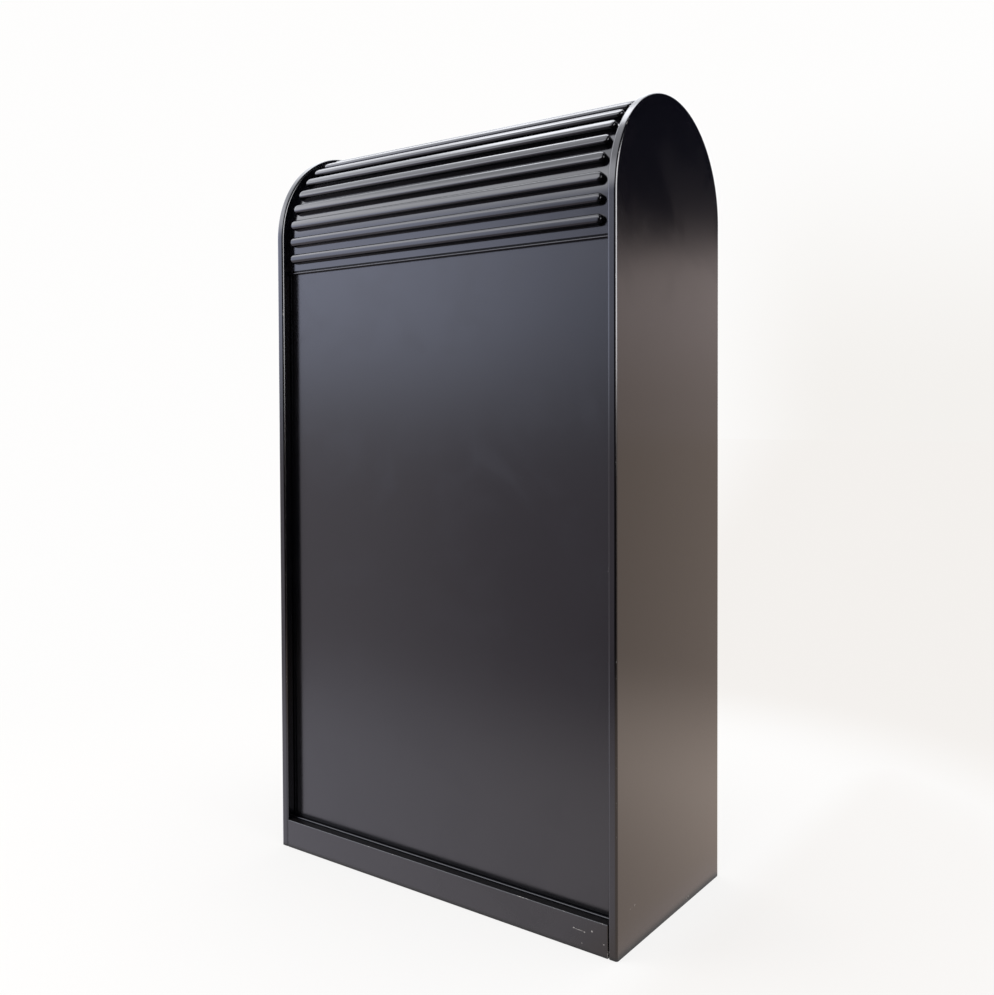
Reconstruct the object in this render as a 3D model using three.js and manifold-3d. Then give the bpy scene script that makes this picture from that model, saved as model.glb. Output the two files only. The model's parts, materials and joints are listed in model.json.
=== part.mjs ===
// A tambour door cabinet: two round-topped side boards carry a ribbed shutter in grooves.
// The shutter closes the front (+Y), runs over the arch and, when it is opened, comes down
// outside the flat rear panel (-Y). Millimetres, +Z up, origin on the floor under the centre.
import * as THREE from 'three';
import { mergeVertices } from 'three/addons/utils/BufferGeometryUtils.js';
import Module from 'manifold-3d';

const wasm = await Module();
wasm.setup();

// Overall sizes
const WIDTH = 760;
const DEPTH = 380;
const HEIGHT = 1390;

// Boards
const SIDE_BOARD = 16;
const PLINTH_BOARD = 16;
const PLINTH_HEIGHT = 54;
const FLOOR_BOARD = 16;
const FLOOR_RISE = 3; // the floor board's top stands this much above the plinths
const TOP_BOARD = 16;
const TOP_BOARD_DROP = 50; // from the springing of the arch down to the top board
const SHELF_BOARD = 18;
const SHELF_COUNT = 2;
const SHELF_SETBACK = 40; // from the front edge of the sides to a shelf's front edge
const SHELF_SIDE_GAP = 1;
const REAR_PANEL = 8;
const PANEL_TONGUE = 4; // the panel's rebated edge, at its inner face
const REAR_RECESS = 22; // from the rear edge of the sides to the rear panel's face
const HOUSING_DEPTH = 6; // of the slot in each side that takes the panel's tongue
const ARRIS = 1.5;

// Shutter
const SHEET = 3;
const SHEET_INSET = 17; // from the edge of the sides in to the sheet's outer face
const GROOVE_DEPTH = 8;
const GROOVE_PLAY = 0.5; // on each face of the sheet
const GROOVE_END_PLAY = 1; // from the sheet's edge to the bottom of the groove
const RIB_WIDTH = 19;
const RIB_HEIGHT = 12;
const RIB_FULLNESS = 3.5; // exponent of the section: 2 is a half ellipse, more is squarer
const RIB_PITCH = 32.5;
const RIB_END_INSET = 13; // from a side's inner face to the rib's end
const RIB_BOND = 0.2; // how deep a rib of the front run beds into the sheet
const TAIL_DROP = 67; // from the springing down to the shutter's rear end
const TAIL_HEIGHT = 19;
const TAIL_THICKNESS = 4; // leaves 1 mm to the rear panel as the rail passes
const TAIL_BEAD_HEIGHT = 3.5;
const TAIL_BEAD_PROUD = 1.5;
const TAIL_QUIRK_HEIGHT = 3; // the narrow channel between the flat band and the bead
const TAIL_QUIRK_DEPTH = 2;
const LEAD_HEIGHT = 50;
const LEAD_PROUD = 13; // in front of the sheet's outer face
const LEAD_INSIDE = 4; // behind the sheet's inner face
const RAIL_SIDE_GAP = 2; // between a rail's body and the side board
const PULL_LENGTH = 240;
const PULL_HEIGHT = 16;
const PULL_DEPTH = 11;
const PULL_LIFT = 14; // from the lead rail's foot to the finger slot

// Fittings
const DOWEL_RADIUS = 4;
const DOWEL_IN_SIDE = 10;
const DOWEL_IN_BOARD = 20;
const DOWEL_INSET = 60; // from a board's front or rear edge to its dowels
const PIN_RADIUS = 2.5;
const PIN_IN_SIDE = 9;
const PIN_HEAD_RADIUS = 3.5;
const PIN_HEAD_LENGTH = 8;
const PIN_INSET = 45; // from a shelf's front or rear edge to its pins
const PIN_HOLE_PITCH = 32;
const PIN_HOLES_BESIDE = 2; // spare holes above and below each pin

// Fits and fineness
const REST_GAP = 0.3; // between pieces that touch
const OVERRUN = 2; // how far a cutter passes the face that it cuts
const ARCH_STEPS = 32;
const ROUND_SIDES = 8;
const RIB_SECTION_STEPS = 8;
const RIB_END_STEPS = 4;
const ARRIS_STEPS = 2;
const WELD = 1e-4;

// Places that follow from the sizes
const RADIUS = DEPTH / 2;
const SPRING_Z = HEIGHT - RADIUS;
const INNER_X = WIDTH / 2 - SIDE_BOARD;
const FLOOR_TOP = PLINTH_HEIGHT + FLOOR_RISE;
const SHEET_OUT = RADIUS - SHEET_INSET;
const SHEET_IN = SHEET_OUT - SHEET;
const SHEET_X = INNER_X + GROOVE_DEPTH - GROOVE_END_PLAY;
const REAR_FACE = REAR_RECESS - RADIUS;
const REAR_INSIDE = REAR_FACE + REAR_PANEL;
const TONGUE_FACE = REAR_INSIDE - PANEL_TONGUE;
const TOP_BOARD_TOP = SPRING_Z - TOP_BOARD_DROP;
const TOP_BOARD_UNDER = TOP_BOARD_TOP - TOP_BOARD;
const SHELF_FRONT = RADIUS - SHELF_SETBACK;
const RAIL_X = INNER_X - RAIL_SIDE_GAP;
const RIB_LENGTH = 2 * (INNER_X - RIB_END_INSET);

// The shutter's ribs are spaced along the sheet's outer face, measured from the rear springing
const ARCH_LENGTH = Math.PI * SHEET_OUT;
const REAR_FOOT = SPRING_Z - TAIL_DROP + TAIL_HEIGHT;
const FIRST_RIB = REAR_FOOT + RIB_WIDTH / 2 - SPRING_Z;
const ARCH_RIBS = Math.ceil((ARCH_LENGTH - FIRST_RIB) / RIB_PITCH + 1 / 2);
const FRONT_TOP = SPRING_Z + ARCH_LENGTH - FIRST_RIB - (ARCH_RIBS - 1 / 2) * RIB_PITCH;
const LEAD_FOOT = FLOOR_TOP + REST_GAP;
const FRONT_FOOT = LEAD_FOOT + LEAD_HEIGHT;
const FRONT_RIBS = Math.floor((FRONT_TOP - FRONT_FOOT) / RIB_PITCH);

function finish(color, roughness, metalness = 0) {
  return new THREE.MeshStandardMaterial({ color, roughness, metalness });
}

const lacquer = finish(0x1b1b1e, 0.38);
const shutterBlack = finish(0x202024, 0.3);
const steel = finish(0x8d9096, 0.35, 1);
const beech = finish(0xc7a376, 0.7);

const cabinet = new THREE.Group();

function add(name, geometry, material) {
  const mesh = new THREE.Mesh(geometry, material);
  mesh.name = name;
  cabinet.add(mesh);
  return mesh;
}

// Turns a closed three.js geometry into a solid that can be joined and cut.
function solid(geometry) {
  const bare = geometry.clone();
  bare.deleteAttribute('normal');
  bare.deleteAttribute('uv');
  const merged = mergeVertices(bare, WELD);
  const vertProperties = new Float32Array(merged.attributes.position.array);
  const triVerts = new Uint32Array(merged.index.array);
  return new wasm.Manifold(new wasm.Mesh({ numProp: 3, vertProperties, triVerts }));
}

function geometryOf(body) {
  const { vertProperties, triVerts } = body.getMesh();
  const geometry = new THREE.BufferGeometry();
  geometry.setAttribute('position', new THREE.BufferAttribute(vertProperties, 3));
  geometry.setIndex(new THREE.BufferAttribute(triVerts, 1));
  const flat = geometry.toNonIndexed();
  flat.computeVertexNormals();
  return flat;
}

// A box from its lowest and highest corners.
function block(low, high) {
  const [x, y, z] = high.map((value, axis) => value - low[axis]);
  const box = new THREE.BoxGeometry(x, y, z);
  return box.translate(low[0] + x / 2, low[1] + y / 2, low[2] + z / 2);
}

// Outline points are (y, z), and the outline is carried along X from one place to another.
const SECTION_TO_X = new THREE.Matrix4().set(0, 0, 1, 0, 1, 0, 0, 0, 0, 1, 0, 0, 0, 0, 0, 1);

function alongX(points, fromX, toX) {
  const shape = new THREE.Shape(points);
  const bar = new THREE.ExtrudeGeometry(shape, { depth: toX - fromX, bevelEnabled: false });
  return bar.applyMatrix4(SECTION_TO_X).translate(fromX, 0, 0);
}

// The same, with both ends' arrises rounded.
function roundedAlongX(points, fromX, toX) {
  const shape = new THREE.Shape(points);
  const bar = new THREE.ExtrudeGeometry(shape, {
    depth: toX - fromX - 2 * ARRIS,
    bevelThickness: ARRIS,
    bevelSize: ARRIS,
    bevelOffset: -ARRIS,
    bevelSegments: ARRIS_STEPS,
  });
  return bar.applyMatrix4(SECTION_TO_X).translate(fromX + ARRIS, 0, 0);
}

// A board whose outline is a rectangle in X and Z, with the arrises of its two Y faces rounded.
function boardAlongY(low, high) {
  const outline = new THREE.Shape([
    new THREE.Vector2(low[0], -high[2]),
    new THREE.Vector2(high[0], -high[2]),
    new THREE.Vector2(high[0], -low[2]),
    new THREE.Vector2(low[0], -low[2]),
  ]);
  const board = new THREE.ExtrudeGeometry(outline, {
    depth: high[1] - low[1] - 2 * ARRIS,
    bevelThickness: ARRIS,
    bevelSize: ARRIS,
    bevelOffset: -ARRIS,
    bevelSegments: ARRIS_STEPS,
  });
  return board.rotateX(-Math.PI / 2).translate(0, low[1] + ARRIS, 0);
}

// A round bar along X.
function barX(radius, fromX, toX, y, z) {
  const bar = new THREE.CylinderGeometry(radius, radius, toX - fromX, ROUND_SIDES);
  return bar.rotateZ(-Math.PI / 2).translate((fromX + toX) / 2, y, z);
}

function arc(radius, start, end) {
  return Array.from({ length: ARCH_STEPS + 1 }, (_, step) => {
    const angle = start + ((end - start) * step) / ARCH_STEPS;
    return new THREE.Vector2(radius * Math.cos(angle), SPRING_Z + radius * Math.sin(angle));
  });
}

// A band that stands on a rear foot, goes over the arch and comes down to a front foot.
function archBand(inner, outer, rearFoot, frontFoot) {
  return [
    new THREE.Vector2(-outer, rearFoot),
    new THREE.Vector2(-inner, rearFoot),
    ...arc(inner, Math.PI, 0),
    new THREE.Vector2(inner, frontFoot),
    new THREE.Vector2(outer, frontFoot),
    ...arc(outer, 0, Math.PI),
  ];
}

function cutAll(body, cutters) {
  return cutters.reduce((rest, cutter) => rest.subtract(solid(cutter)), body);
}

// Both ends of a pattern that is the same at -X and +X: [name, sign].
const SIDES = [['left', -1], ['right', 1]];

function fromTo(sign, near, far) {
  return sign > 0 ? [near, far] : [-far, -near];
}

// Places that the boards, pins and dowels share
const shelfSpace = (TOP_BOARD_UNDER - FLOOR_TOP - SHELF_COUNT * SHELF_BOARD) / (SHELF_COUNT + 1);
const shelfUnders = Array.from(
  { length: SHELF_COUNT },
  (_, n) => FLOOR_TOP + shelfSpace + n * (shelfSpace + SHELF_BOARD),
);
const shelfRear = REAR_INSIDE + REST_GAP;
const pinRows = [['rear', shelfRear + PIN_INSET], ['front', SHELF_FRONT - PIN_INSET]];
const pinLevels = shelfUnders.map((under) => under - REST_GAP - PIN_HEAD_RADIUS);
const plinthInside = RADIUS - PLINTH_BOARD;
const floorEdge = plinthInside - REST_GAP;
const floorDowels = [['rear', DOWEL_INSET - floorEdge], ['front', floorEdge - DOWEL_INSET]];
const topDowels = [['rear', shelfRear + DOWEL_INSET], ['front', SHELF_FRONT - DOWEL_INSET]];
const dowelPlaces = [
  ...floorDowels.map(([end, y]) => ({ board: 'floor', end, y, z: FLOOR_TOP - FLOOR_BOARD / 2 })),
  ...topDowels.map(([end, y]) => ({ board: 'top', end, y, z: TOP_BOARD_UNDER + TOP_BOARD / 2 })),
];

function dowelHoles(sign, board) {
  const deepest = INNER_X - DOWEL_IN_BOARD - REST_GAP;
  const [from, to] = fromTo(sign, deepest, INNER_X + DOWEL_IN_SIDE + REST_GAP);
  return dowelPlaces
    .filter((place) => !board || place.board === board)
    .map(({ y, z }) => barX(DOWEL_RADIUS + REST_GAP, from, to, y, z));
}

// Side boards: a round top, the shutter's groove, the rear panel's housing and rows of pin holes.
const sideOutline = [
  new THREE.Vector2(-RADIUS, 0),
  new THREE.Vector2(RADIUS, 0),
  ...arc(RADIUS, 0, Math.PI),
];
const groove = archBand(SHEET_IN - GROOVE_PLAY, SHEET_OUT + GROOVE_PLAY, FLOOR_TOP, FLOOR_TOP);

function pinHoles(sign) {
  const [from, to] = fromTo(sign, INNER_X - OVERRUN, INNER_X + PIN_IN_SIDE + REST_GAP);
  const holes = [];
  for (const level of pinLevels) {
    for (let step = -PIN_HOLES_BESIDE; step <= PIN_HOLES_BESIDE; step += 1) {
      for (const [, y] of pinRows) {
        holes.push(barX(PIN_RADIUS + REST_GAP, from, to, y, level + step * PIN_HOLE_PITCH));
      }
    }
  }
  return holes;
}

for (const [side, sign] of SIDES) {
  const [boardFrom, boardTo] = fromTo(sign, INNER_X, WIDTH / 2);
  const [grooveFrom, grooveTo] = fromTo(sign, INNER_X - OVERRUN, INNER_X + GROOVE_DEPTH);
  const [slotFrom, slotTo] = fromTo(sign, INNER_X - OVERRUN, INNER_X + HOUSING_DEPTH);
  const housing = block(
    [slotFrom, TONGUE_FACE - REST_GAP, FLOOR_TOP],
    [slotTo, REAR_INSIDE + REST_GAP, TOP_BOARD_TOP + REST_GAP],
  );
  const channels = [alongX(groove, grooveFrom, grooveTo), housing];
  const blank = solid(roundedAlongX(sideOutline, boardFrom, boardTo));
  const board = cutAll(blank, [...channels, ...pinHoles(sign), ...dowelHoles(sign)]);
  add(`side_panel_${side}`, geometryOf(board), lacquer);
}

// Plinths, flush with the edges of the sides
const boardX = INNER_X - REST_GAP;
for (const [end, sign] of [['rear', -1], ['front', 1]]) {
  const [from, to] = fromTo(sign, plinthInside, RADIUS);
  add(`plinth_${end}`, boardAlongY([-boardX, from, 0], [boardX, to, PLINTH_HEIGHT]), lacquer);
}

// Floor and top boards, doweled between the sides
function doweledBoard(name, board, low, high) {
  const cutters = SIDES.flatMap(([, sign]) => dowelHoles(sign, board));
  add(name, geometryOf(cutAll(solid(block(low, high)), cutters)), lacquer);
}

doweledBoard(
  'floor_board',
  'floor',
  [-boardX, -floorEdge, FLOOR_TOP - FLOOR_BOARD],
  [boardX, floorEdge, FLOOR_TOP],
);
doweledBoard(
  'top_board',
  'top',
  [-boardX, shelfRear, TOP_BOARD_UNDER],
  [boardX, SHELF_FRONT, TOP_BOARD_TOP],
);

for (const { board, end, y, z } of dowelPlaces) {
  for (const [side, sign] of SIDES) {
    const [from, to] = fromTo(sign, INNER_X - DOWEL_IN_BOARD, INNER_X + DOWEL_IN_SIDE);
    add(`dowel_${board}_${end}_${side}`, barX(DOWEL_RADIUS, from, to, y, z), beech);
  }
}

// The flat rear panel stands on the floor board, against the top board's edge. Its sides are
// rebated, so that their slots stay clear of the shutter's grooves.
const panelX = INNER_X + HOUSING_DEPTH - REST_GAP;
const panelFoot = FLOOR_TOP + REST_GAP;
const panelFace = block([-boardX, REAR_FACE, panelFoot], [boardX, REAR_INSIDE, TOP_BOARD_TOP]);
const panelTongue = block([-panelX, TONGUE_FACE, panelFoot], [panelX, REAR_INSIDE, TOP_BOARD_TOP]);
add('rear_panel', geometryOf(solid(panelFace).add(solid(panelTongue))), lacquer);

// Shelves on steel pins
const shelfX = INNER_X - SHELF_SIDE_GAP;
shelfUnders.forEach((under, n) => {
  const low = [-shelfX, shelfRear, under];
  const high = [shelfX, SHELF_FRONT, under + SHELF_BOARD];
  add(`shelf_${n + 1}`, boardAlongY(low, high), lacquer);
});

function shelfPin(sign, y, z) {
  const [stemFrom, stemTo] = fromTo(sign, INNER_X - PIN_HEAD_LENGTH, INNER_X + PIN_IN_SIDE);
  const [headFrom, headTo] = fromTo(sign, INNER_X - PIN_HEAD_LENGTH, INNER_X - REST_GAP);
  const stem = solid(barX(PIN_RADIUS, stemFrom, stemTo, y, z));
  return geometryOf(stem.add(solid(barX(PIN_HEAD_RADIUS, headFrom, headTo, y, z))));
}

pinLevels.forEach((level, n) => {
  for (const [end, y] of pinRows) {
    for (const [side, sign] of SIDES) {
      add(`shelf_${n + 1}_pin_${end}_${side}`, shelfPin(sign, y, level), steel);
    }
  }
});

// A rib's section is a superellipse. Both lengths are shares of the rib's half width: the first
// places even steps round the section, the second gives the height over a place.
function stepAcross(turn) {
  const cosine = Math.cos(turn);
  return Math.sign(cosine) * Math.abs(cosine) ** (2 / RIB_FULLNESS);
}

function ribHeightAt(reach) {
  const rest = 1 - reach ** RIB_FULLNESS;
  return rest > 1e-9 ? RIB_HEIGHT * rest ** (1 / RIB_FULLNESS) : 0;
}

// One rib: a bar along X with round shoulders, lying on Z = 0. Each end is half a turn of the
// section about an upright axis.
function ribGeometry() {
  const half = RIB_WIDTH / 2;
  const rings = [];
  for (const sign of [-1, 1]) {
    for (let step = 0; step < RIB_END_STEPS; step += 1) {
      const place = sign < 0 ? RIB_END_STEPS - 1 - step : step;
      rings.push([sign, stepAcross(((1 - place / RIB_END_STEPS) * Math.PI) / 2)]);
    }
  }
  const points = [];
  for (const [sign, end] of rings) {
    const x = sign * (RIB_LENGTH / 2 - half + half * end);
    const width = Math.sqrt(1 - end ** 2);
    for (let step = 0; step <= RIB_SECTION_STEPS; step += 1) {
      const across = width * stepAcross((step / RIB_SECTION_STEPS) * Math.PI);
      points.push(x, half * across, ribHeightAt(Math.hypot(end, across)));
    }
  }
  const perRing = RIB_SECTION_STEPS + 1;
  const tips = [rings.length * perRing, rings.length * perRing + 1];
  points.push(-RIB_LENGTH / 2, 0, 0, RIB_LENGTH / 2, 0, 0);
  const faces = [];
  for (let ring = 0; ring < rings.length - 1; ring += 1) {
    for (let step = 0; step < perRing; step += 1) {
      // the last strip closes the flat underside
      const a = ring * perRing + step;
      const b = ring * perRing + ((step + 1) % perRing);
      faces.push(a, b, a + perRing, b, b + perRing, a + perRing);
    }
  }
  for (let step = 0; step < perRing; step += 1) {
    const next = (step + 1) % perRing;
    const last = (rings.length - 1) * perRing;
    faces.push(tips[0], next, step, tips[1], last + step, last + next);
  }
  const rib = new THREE.BufferGeometry();
  rib.setAttribute('position', new THREE.Float32BufferAttribute(points, 3));
  rib.setIndex(faces);
  return rib;
}

// Stands a rib on the sheet, turned by an angle from the rear (0) over the top to the front (pi).
function ribOnSheet(angle, radius, z) {
  const out = new THREE.Matrix4().makeRotationX(Math.PI / 2 - angle);
  const place = new THREE.Matrix4().makeTranslation(0, 0, z);
  const lift = new THREE.Matrix4().makeTranslation(0, 0, radius);
  return ribGeometry().applyMatrix4(place.multiply(out).multiply(lift));
}

// The run of the shutter over the arch, from the tail rail to the front run
add(
  'shutter_arch_sheet',
  alongX(archBand(SHEET_IN, SHEET_OUT, REAR_FOOT, FRONT_TOP + REST_GAP), -SHEET_X, SHEET_X),
  shutterBlack,
);
for (let n = 0; n < ARCH_RIBS; n += 1) {
  const along = FIRST_RIB + n * RIB_PITCH;
  const angle = Math.min(Math.max(along / SHEET_OUT, 0), Math.PI);
  const below = Math.max(-along, along - ARCH_LENGTH, 0);
  const rib = ribOnSheet(angle, SHEET_OUT + REST_GAP, SPRING_Z - below);
  add(`shutter_arch_rib_${String(n + 1).padStart(2, '0')}`, rib, shutterBlack);
}

// The front run, from the arch down to the lead rail, as one body of sheet and ribs
let frontRun = solid(
  block([-SHEET_X, SHEET_IN, FRONT_FOOT + REST_GAP], [SHEET_X, SHEET_OUT, FRONT_TOP]),
);
for (let n = 0; n < FRONT_RIBS; n += 1) {
  const z = FRONT_TOP - (n + 1 / 2) * RIB_PITCH;
  frontRun = frontRun.add(solid(ribOnSheet(Math.PI, SHEET_OUT - RIB_BOND, z)));
}
add('shutter_front_run', geometryOf(frontRun), shutterBlack);

// The lead rail closes on the floor board. Its tongues ride in the grooves.
const leadInside = SHEET_IN - LEAD_INSIDE;
const leadFace = SHEET_OUT + LEAD_PROUD;
const leadBody = roundedAlongX(
  [
    new THREE.Vector2(leadInside, LEAD_FOOT),
    new THREE.Vector2(leadFace, LEAD_FOOT),
    new THREE.Vector2(leadFace, FRONT_FOOT),
    new THREE.Vector2(leadInside, FRONT_FOOT),
  ],
  -RAIL_X,
  RAIL_X,
);
const pullFloor = LEAD_FOOT + PULL_LIFT;
const pullEnd = PULL_LENGTH / 2 - PULL_HEIGHT / 2;
const fingerSlot = [
  block(
    [-pullEnd, leadFace - PULL_DEPTH, pullFloor],
    [pullEnd, leadFace + OVERRUN, pullFloor + PULL_HEIGHT],
  ),
  ...[-pullEnd, pullEnd].map((x) => {
    const round = PULL_HEIGHT / 2;
    const end = new THREE.CylinderGeometry(round, round, PULL_DEPTH + OVERRUN, 2 * ROUND_SIDES);
    return end.translate(x, leadFace + (OVERRUN - PULL_DEPTH) / 2, pullFloor + round);
  }),
];
const leadTongue = block([-SHEET_X, SHEET_IN, LEAD_FOOT], [SHEET_X, SHEET_OUT, FRONT_FOOT]);
const leadRail = cutAll(solid(leadBody).add(solid(leadTongue)), fingerSlot);
add('lead_rail', geometryOf(leadRail), lacquer);

// The tail rail ends the shutter at the rear: a flat band, a quirk and a bead
const tailTop = REAR_FOOT - REST_GAP;
const tailFoot = SPRING_Z - TAIL_DROP;
const quirkFoot = tailFoot + TAIL_BEAD_HEIGHT;
const quirkTop = quirkFoot + TAIL_QUIRK_HEIGHT;
const tailInside = TAIL_THICKNESS - SHEET_OUT;
const tailBody = alongX(
  [
    new THREE.Vector2(-SHEET_OUT, tailTop),
    new THREE.Vector2(-SHEET_OUT, quirkTop),
    new THREE.Vector2(TAIL_QUIRK_DEPTH - SHEET_OUT, (quirkTop + quirkFoot) / 2),
    new THREE.Vector2(-SHEET_OUT, quirkFoot),
    new THREE.Vector2(-SHEET_OUT - TAIL_BEAD_PROUD, tailFoot + TAIL_BEAD_HEIGHT / 2),
    new THREE.Vector2(-SHEET_OUT, tailFoot),
    new THREE.Vector2(tailInside, tailFoot),
    new THREE.Vector2(tailInside, tailTop),
  ],
  -RAIL_X,
  RAIL_X,
);
const tailTongue = block([-SHEET_X, -SHEET_OUT, quirkTop], [SHEET_X, -SHEET_IN, tailTop]);
add('tail_rail', geometryOf(solid(tailBody).add(solid(tailTongue))), lacquer);

export default cabinet;
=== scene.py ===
# %% [markdown]
# A tambour cabinet in black lacquer. The imported CAD model is the fixed frame, and everything made
# here is placed from it, in metres, with +Z up, +Y towards the shutter's opening side and -Y towards
# the flat rear panel that the camera sees. The dressed cabinet has to stay the same size.

# %% Load the frame
import json
import math

import bmesh
import bpy
import numpy as np
from mathutils import Matrix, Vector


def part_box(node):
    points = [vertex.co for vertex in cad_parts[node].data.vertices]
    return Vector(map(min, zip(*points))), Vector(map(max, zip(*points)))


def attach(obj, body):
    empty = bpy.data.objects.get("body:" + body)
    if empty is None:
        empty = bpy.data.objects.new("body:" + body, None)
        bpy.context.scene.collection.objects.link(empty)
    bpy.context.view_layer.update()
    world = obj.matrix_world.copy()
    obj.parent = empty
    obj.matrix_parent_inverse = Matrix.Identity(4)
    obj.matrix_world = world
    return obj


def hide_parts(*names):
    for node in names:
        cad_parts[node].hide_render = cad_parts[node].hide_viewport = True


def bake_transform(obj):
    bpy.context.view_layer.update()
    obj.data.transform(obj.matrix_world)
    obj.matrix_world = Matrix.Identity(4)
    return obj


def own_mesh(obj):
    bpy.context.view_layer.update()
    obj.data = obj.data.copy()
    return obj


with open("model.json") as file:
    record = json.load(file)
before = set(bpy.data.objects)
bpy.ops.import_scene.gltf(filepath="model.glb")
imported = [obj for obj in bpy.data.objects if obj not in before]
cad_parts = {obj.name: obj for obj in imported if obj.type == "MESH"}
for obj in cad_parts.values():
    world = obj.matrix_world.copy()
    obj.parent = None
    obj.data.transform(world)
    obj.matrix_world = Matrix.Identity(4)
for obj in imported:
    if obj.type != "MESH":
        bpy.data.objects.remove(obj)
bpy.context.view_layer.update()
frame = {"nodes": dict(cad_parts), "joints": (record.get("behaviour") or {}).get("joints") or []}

# %% [markdown]
# The camera comes first, so that each piece can be looked at from the photograph's place. A camera
# can be aimed with a constraint or by hand. Here its place, its turn and its focal length were worked
# out from the cabinet's corners in the photograph, so its matrix is built from three directions:
# where it looks, what is right, and what is up. The small shift is the photograph's crop.

# %% Camera
IMAGE = (994, 995)
SENSOR_WIDTH = 36
FOCAL = 1039.87
PRINCIPAL = (486.90, 438.23)
EYE = np.array([1.17297, -1.59832, 0.85865])
YAW, PITCH, ROLL = np.radians([-36.474, -1.369, -0.247])


def camera_axes(yaw, pitch, roll):
    """Right, up and forward: forward from the compass and tilt angles, then a turn about forward."""
    ahead = math.cos(pitch)
    forward = np.array([math.sin(yaw) * ahead, math.cos(yaw) * ahead, math.sin(pitch)])
    level = np.array([math.cos(yaw), -math.sin(yaw), 0])
    above = np.cross(level, forward)
    right = math.cos(roll) * level + math.sin(roll) * above
    up = math.cos(roll) * above - math.sin(roll) * level
    return right, up, forward


def placed(right, up, forward, place):
    """The matrix of a camera or lamp, which looks along its own -Z."""
    axes = np.column_stack([right, up, -forward, place])
    return Matrix(axes.tolist() + [[0, 0, 0, 1]])


camera_data = bpy.data.cameras.new("photograph_camera")
camera_data.sensor_width = SENSOR_WIDTH
camera_data.lens = FOCAL / max(IMAGE) * SENSOR_WIDTH
camera_data.shift_x = (IMAGE[0] / 2 - PRINCIPAL[0]) / max(IMAGE)
camera_data.shift_y = (PRINCIPAL[1] - IMAGE[1] / 2) / max(IMAGE)
camera = bpy.data.objects.new("photograph_camera", camera_data)
camera.matrix_world = placed(*camera_axes(YAW, PITCH, ROLL), EYE)
bpy.context.scene.collection.objects.link(camera)
bpy.context.scene.camera = camera
print("lens, mm:", round(camera_data.lens, 2))

# %% [markdown]
# The sizes that the shapes below need. Where a CAD node has the size, its box is asked for it, so
# that the dressed piece can't drift from the solid. The rest are the cabinet maker's own numbers:
# how round an arris is, how far apart the ribs stand.

# %% Sizes
MM = 0.001
ARRIS = 1.5 * MM
GUARD = 0.3 * MM
ROUND_STEPS = 5
QUARTER_TURN = np.linspace(0, np.pi / 2, ROUND_STEPS + 1)
BAR_SIDES = 24
side_low, side_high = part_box("side_panel_right")
RADIUS = side_high[1]
SPRING = side_high[2] - RADIUS
INNER = side_low[0]
RAIL_CLEARANCE = 2 * MM
RAIL_X = INNER - RAIL_CLEARANCE
SHEET_OUT = 173 * MM
SHEET_IN = 170 * MM
SHEET_THICKNESS = 3 * MM
SHEET_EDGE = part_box("shutter_arch_sheet")[1][0]
RIB_WIDTH = 19 * MM
RIB_HEIGHT = 12 * MM
RIB_FULLNESS = 3.5
RIB_PITCH = 32.5 * MM
RIB_HALF = 351 * MM
FIRST_RIB = -38.5 * MM
ARCH_RIBS, FRONT_RIBS = 19, 33
ARCH_LENGTH = math.pi * SHEET_OUT
TRAVEL = frame["joints"][0]["range_m"][1]
print("arch radius", round(RADIUS, 4), "springing", round(SPRING, 4), "travel", TRAVEL)

# %% [markdown]
# Nearly every piece of this cabinet is a section carried along its length: boards, rails, ribs and
# the sheet. Blender could extrude curves or bevel cubes, but a grid of points worked out with numpy
# says the form exactly. A skin is a pair, points and faces. Rings of points lie along X, and quads
# join each ring to the next, with a flat cap at each end.

# %% Skins from rings
def skin_of_rings(rings):
    """Skin through closed rings, an array (rings, points, 3). Point j of ring i joins point j + 1 of
    the same ring and both of them on the next ring."""
    count, around, _ = rings.shape
    index = np.arange(count * around).reshape(count, around)
    beside = np.roll(index, -1, axis=1)
    quads = np.stack([index[:-1], beside[:-1], beside[1:], index[1:]], axis=-1).reshape(-1, 4)
    faces = quads.tolist() + [index[0, ::-1].tolist(), index[-1].tolist()]
    return rings.reshape(-1, 3), faces


def swept(x, section):
    """A skin along X: section is (stations, points, 2) in y and z, and x is the place of each one."""
    places = np.broadcast_to(x[:, None, None], section.shape[:2] + (1,))
    return skin_of_rings(np.concatenate([places, section], axis=2))


def prism(start, end, outline):
    """A skin with the same outline at both ends."""
    return swept(np.array([start, end]), np.stack([outline, outline]))


def joined(skins):
    """One skin of several, each one's face numbers moved on by the points before it."""
    starts = np.cumsum([0] + [len(points) for points, _ in skins])
    faces = []
    for start, (_, each) in zip(starts, skins):
        faces += [(np.array(face) + start).tolist() for face in each]
    return np.concatenate([points for points, _ in skins]), faces


# %% Pieces from skins
WELD = 2e-6
SHARP_ANGLE = math.radians(30)


def piece_from(name, skin, arris=None):
    """Puts a skin into a mesh, welds the points that coincide, turns the faces outwards, and shades
    it smooth except where two faces meet at more than the sharp angle."""
    points, faces = skin
    mesh = bpy.data.meshes.new(name)
    mesh.from_pydata(points.tolist(), [], faces)
    mark = mesh.attributes.new("arris", "FLOAT", "POINT")
    if arris is not None:
        mark.data.foreach_set("value", arris.ravel().astype(np.float32))
    form = bmesh.new()
    form.from_mesh(mesh)
    bmesh.ops.remove_doubles(form, verts=form.verts, dist=WELD)
    bmesh.ops.recalc_face_normals(form, faces=form.faces)
    form.to_mesh(mesh)
    form.free()
    smooth(mesh)
    piece = bpy.data.objects.new(name, mesh)
    bpy.context.scene.collection.objects.link(piece)
    return piece


def smooth(mesh):
    """Smooth shading, with a sharp edge where the surface turns by more than the sharp angle."""
    mesh.shade_smooth()
    mesh.set_sharp_from_angle(angle=SHARP_ANGLE)


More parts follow.
